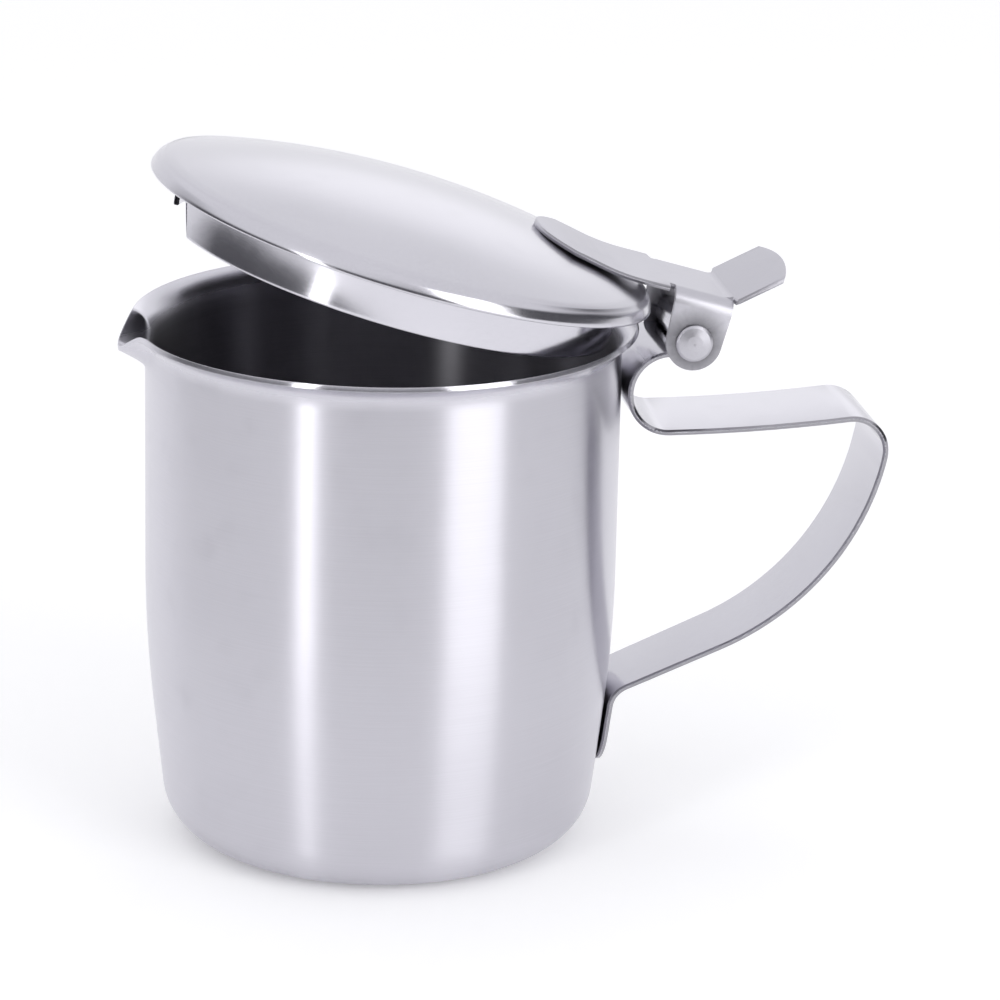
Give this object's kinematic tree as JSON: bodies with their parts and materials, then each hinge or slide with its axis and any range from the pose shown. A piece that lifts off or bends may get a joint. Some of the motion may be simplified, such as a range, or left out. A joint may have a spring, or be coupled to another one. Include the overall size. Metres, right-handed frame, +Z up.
{
  "type": "lidded creamer",
  "caption": "Small straight-sided stainless jug with a flared pouring lip, a bent strap handle and a shallow domed lid that swings up on a pinned hinge when its thumb lever is pressed.",
  "frame": {"origin": "centre of the jug's flat base, on the surface it stands on", "axes": "+Z up, +X towards the handle, -X towards the spout, +Y completes the right-handed frame along the hinge pin"},
  "size_m": [0.1204, 0.0802, 0.1094],
  "materials": {
    "body_steel": "satin, finely brushed round the wall",
    "strap_steel": "polished, faint lengthwise lines",
    "cover_steel": "polished dome with a bright bead",
    "skirt_steel": "polished",
    "lever_steel": "polished, dull on the folded ears",
    "pin_steel": "dull formed heads"
  },
  "bodies": {
    "jug": {"jug_body": "body_steel", "handle_strap": "strap_steel"},
    "lid": {"lid_cover": "cover_steel", "lid_skirt": "skirt_steel", "lid_lever": "lever_steel", "hinge_pin": "pin_steel"}
  },
  "joints": [
    {"name": "lid_hinge", "type": "hinge", "parent": "jug", "child": "lid", "pos_m": [0.047, 0, 0.081], "axis": [0, 1, 0], "range_deg": [-15.8, 80]}
  ]
}
